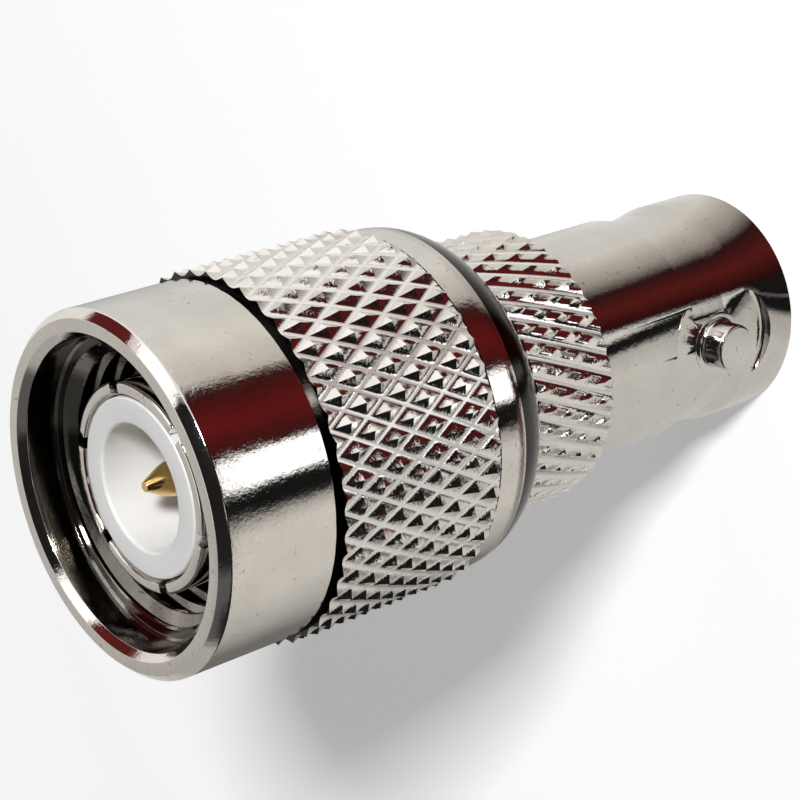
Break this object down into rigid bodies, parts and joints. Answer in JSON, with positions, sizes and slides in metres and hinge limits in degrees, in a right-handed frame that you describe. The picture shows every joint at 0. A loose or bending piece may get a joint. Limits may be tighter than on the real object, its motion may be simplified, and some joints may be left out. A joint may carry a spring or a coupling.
{
  "type": "coaxial adapter",
  "caption": "Straight coaxial adapter: a screw-coupled plug with a knurled turning nut at one end, a bayonet jack with two studs at the other, pin and socket contacts inside.",
  "frame": {"origin": "centre of the jack's end face, the face that the adapter stands on", "axes": "+Z along the adapter's axis from the jack's end face to the plug's mouth, X through the two bayonet studs, Y square to both"},
  "size_m": [0.0148, 0.0148, 0.0322],
  "materials": {
    "nickel_shell": "brass, nickel plated, semi-bright",
    "nickel_nut": "brass, nickel plated, semi-bright",
    "nickel_contact": "spring bronze, nickel plated",
    "spring_bronze": "bare spring bronze",
    "silicone": "matte silicone rubber",
    "fluoropolymer": "white fluoropolymer, machined",
    "gold_plate": "brass, gold plated"
  },
  "bodies": {
    "shell": {"body_shell": "nickel_shell", "face_gasket": "silicone", "outer_contact": "nickel_contact", "plug_insulator": "fluoropolymer", "jack_insulator": "fluoropolymer", "centre_contact": "gold_plate"},
    "ring": {"retaining_ring": "spring_bronze"},
    "nut": {"coupling_nut": "nickel_nut"}
  },
  "joints": [
    {"name": "nut_float", "type": "slide", "parent": "shell", "child": "ring", "axis": [0, 0, 1], "range_m": [0, 0.0003]},
    {"name": "nut_turn", "type": "hinge", "parent": "ring", "child": "nut", "pos_m": [0, 0, 0.0241], "axis": [0, 0, 1], "continuous": true}
  ]
}
